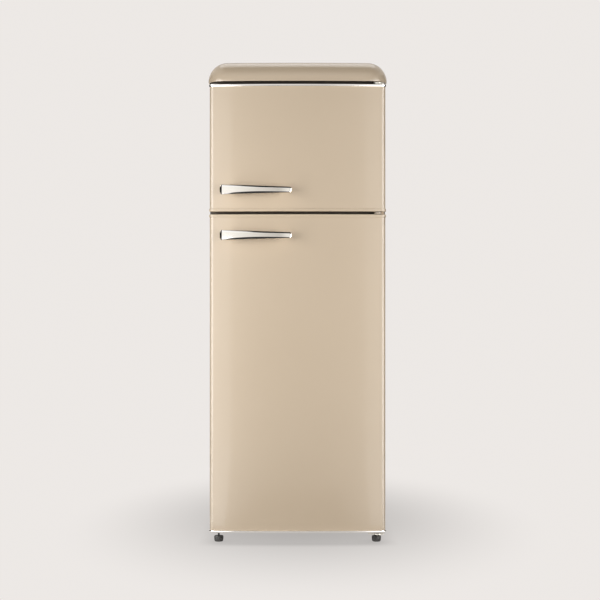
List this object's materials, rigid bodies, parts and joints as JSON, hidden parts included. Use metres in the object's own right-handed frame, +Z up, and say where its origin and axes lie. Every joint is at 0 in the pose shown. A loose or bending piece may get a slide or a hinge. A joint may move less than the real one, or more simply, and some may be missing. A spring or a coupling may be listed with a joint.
{
  "type": "top-freezer refrigerator",
  "caption": "Tall retro refrigerator with a freezer on top, crowned cream doors, chrome tapered handles and trims, bullnose top cap, shelves, bins and a rear wire condenser.",
  "frame": {"origin": "on the floor, in the middle of the footprint", "axes": "+Z up, +Y from the doors to the back, +X to the viewer's right, the hinge side"},
  "size_m": [0.55, 0.625, 1.48],
  "materials": {
    "cream_paint": "gloss enamel",
    "cream_plastic": "gloss, painted to match",
    "chrome": "polished plating",
    "white_liner": "moulded, satin gloss",
    "foam": "closed-cell foam, hidden",
    "gasket": "soft vinyl, matte",
    "clear_plastic": "clear moulding",
    "shelf_glass": "tempered, clear",
    "galvanised_steel": "zinc coated",
    "hinge_steel": "painted",
    "black_steel": "satin black",
    "dark_plastic": "moulded, matte",
    "black_rubber": "matte",
    "copper": "drawn tube",
    "evaporator_plate": "roll-bond plate",
    "grey_plastic": "moulded, satin",
    "lamp_lens": "translucent lens"
  },
  "bodies": {
    "cabinet": {"back_panel": "galvanised_steel", "bottom_hinge": "hinge_steel", "bottom_plate": "galvanised_steel", "compressor": "black_steel", "compressor_grommets": "black_rubber", "compressor_plate": "galvanised_steel", "condenser_tube": "black_steel", "condenser_wires": "black_steel", "control_housing": "white_liner", "cord_gland": "dark_plastic", "drip_tray": "dark_plastic", "filter_drier": "copper", "freezer_evaporator": "evaporator_plate", "freezer_liner": "white_liner", "freezer_shelf": "chrome", "fridge_liner": "white_liner", "front_rails": "black_steel", "glass_shelves": "shelf_glass", "hinge_pins": "galvanised_steel", "insulation_foam": "foam", "lamp_cover": "lamp_lens", "left_foot_bracket": "galvanised_steel", "left_side_panel": "cream_paint", "middle_hinge": "hinge_steel", "niche_panel": "galvanised_steel", "refrigerant_pipes": "copper", "right_side_panel": "cream_paint", "roller_axles": "galvanised_steel", "roller_forks": "galvanised_steel", "shelf_trims": "grey_plastic", "terminal_box": "dark_plastic", "top_cap": "cream_plastic", "top_hinge": "hinge_steel", "top_panel": "cream_paint", "wall_spacers": "dark_plastic"},
    "freezer_door": {"freezer_door_bin": "clear_plastic", "freezer_door_bottom_end": "cream_plastic", "freezer_door_bushes": "grey_plastic", "freezer_door_foam": "foam", "freezer_door_gasket": "gasket", "freezer_door_liner": "white_liner", "freezer_door_sheet": "cream_paint", "freezer_door_top_trim": "chrome", "freezer_handle": "chrome"},
    "fridge_door": {"bottle_bin": "clear_plastic", "fridge_door_bins": "clear_plastic", "fridge_door_bottom_trim": "chrome", "fridge_door_bushes": "grey_plastic", "fridge_door_foam": "foam", "fridge_door_gasket": "gasket", "fridge_door_liner": "white_liner", "fridge_door_sheet": "cream_paint", "fridge_door_top_end": "cream_plastic", "fridge_handle": "chrome"},
    "crisper": {"crisper_drawer": "clear_plastic"},
    "knob": {"thermostat_knob": "grey_plastic"},
    "left_foot": {"left_front_foot": "dark_plastic"},
    "right_foot": {"right_front_foot": "dark_plastic"},
    "left_roller": {"left_rear_roller": "dark_plastic"},
    "right_roller": {"right_rear_roller": "dark_plastic"}
  },
  "joints": [
    {"name": "freezer_door_swing", "type": "hinge", "parent": "cabinet", "child": "freezer_door", "pos_m": [0.247, -0.2405, 1.21], "axis": [0, 0, 1], "range_deg": [0, 120]},
    {"name": "fridge_door_swing", "type": "hinge", "parent": "cabinet", "child": "fridge_door", "pos_m": [0.247, -0.2405, 0.52], "axis": [0, 0, 1], "range_deg": [0, 120]},
    {"name": "crisper_slide", "type": "slide", "parent": "cabinet", "child": "crisper", "axis": [0, -1, 0], "range_m": [0, 0.06]},
    {"name": "thermostat_turn", "type": "hinge", "parent": "cabinet", "child": "knob", "pos_m": [-0.062, -0.136, 0.96275], "axis": [0, -1, 0], "range_deg": [0, 270]},
    {"name": "left_foot_turn", "type": "hinge", "parent": "cabinet", "child": "left_foot", "pos_m": [-0.2445, -0.1835, 0.04], "axis": [0, 0, 1], "continuous": true},
    {"name": "right_foot_turn", "type": "hinge", "parent": "cabinet", "child": "right_foot", "pos_m": [0.2445, -0.1835, 0.04], "axis": [0, 0, 1], "continuous": true},
    {"name": "left_roller_spin", "type": "hinge", "parent": "cabinet", "child": "left_roller", "pos_m": [-0.215, 0.2295, 0.015], "axis": [1, 0, 0], "continuous": true},
    {"name": "right_roller_spin", "type": "hinge", "parent": "cabinet", "child": "right_roller", "pos_m": [0.215, 0.2295, 0.015], "axis": [1, 0, 0], "continuous": true}
  ]
}
